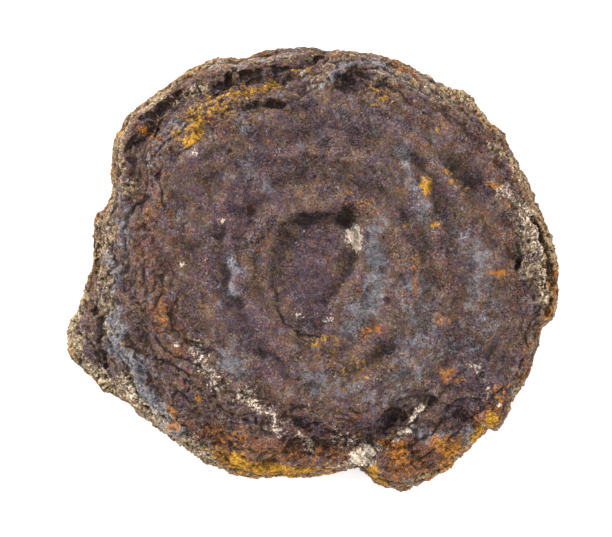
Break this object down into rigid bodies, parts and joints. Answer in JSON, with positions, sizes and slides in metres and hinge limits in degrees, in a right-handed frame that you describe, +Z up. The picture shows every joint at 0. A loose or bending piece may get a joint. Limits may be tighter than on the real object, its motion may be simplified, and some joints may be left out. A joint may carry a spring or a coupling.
{
  "type": "lake iron ore concretion",
  "caption": "Flat round natural concretion of lake iron ore with growth rings, a sunken middle, ledged crust edges and a lobe; lies on a small flat spot as a specimen.",
  "frame": {"origin": "middle of the stone's box in X and Y, on the surface that it rests on", "axes": "+Z up, out of the ringed face; +X along the longest way across, with the lobe in the +X, -Y corner; +Y across, away from the lobe"},
  "size_m": [0.0599, 0.0546, 0.0139],
  "materials": {
    "limonite": "rough, earthy, brown to ochre, with sand grown into the sides"
  },
  "bodies": {
    "root": {"ore_nodule": "limonite"}
  },
  "joints": []
}
